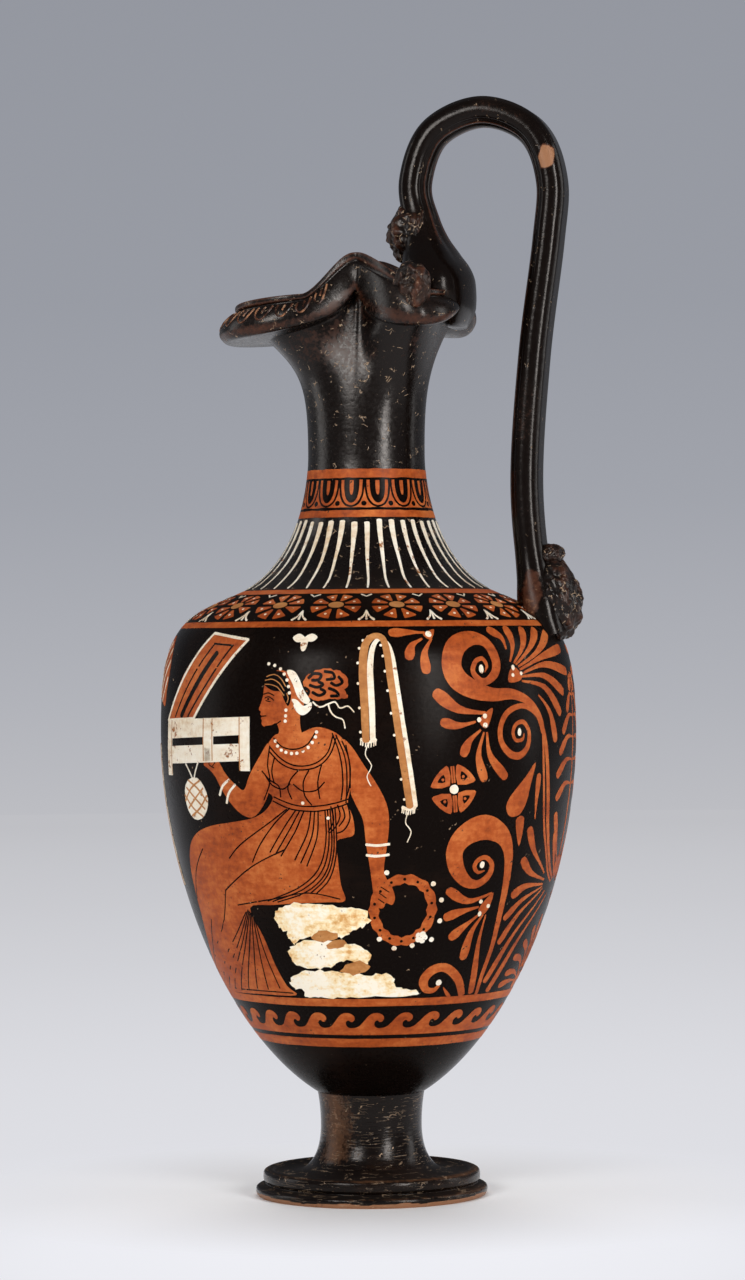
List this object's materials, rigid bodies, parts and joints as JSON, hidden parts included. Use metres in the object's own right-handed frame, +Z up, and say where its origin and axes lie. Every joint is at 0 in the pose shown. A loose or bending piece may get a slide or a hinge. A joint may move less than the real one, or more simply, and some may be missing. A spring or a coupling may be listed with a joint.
{
  "type": "oinochoe jug",
  "caption": "Tall ovoid wine jug on a stepped pedestal foot, with a trefoil pouring mouth, a high ribbed loop handle and moulded ornaments at its ends.",
  "frame": {"origin": "centre of the foot's resting ring, on the surface the jug stands on", "axes": "+Z up along the wheel axis, +X towards the handle, -X towards the spout"},
  "size_m": [0.1638, 0.1592, 0.4197],
  "materials": {
    "black_gloss": "glossy black slip with fine scratches and flecks",
    "worn_gloss": "rubbed brown-black slip over clay",
    "reserved_clay": "satin orange-red fired clay",
    "added_white": "matt cream-white slip",
    "added_yellow": "matt yellow-brown wash"
  },
  "bodies": {
    "root": {"foot": "black_gloss", "body": "black_gloss", "neck": "black_gloss", "trefoil_lip": "black_gloss", "handle": "black_gloss", "left_rotelle": "worn_gloss", "right_rotelle": "worn_gloss", "upper_handle_head": "worn_gloss", "lower_handle_mask": "worn_gloss"}
  },
  "joints": []
}
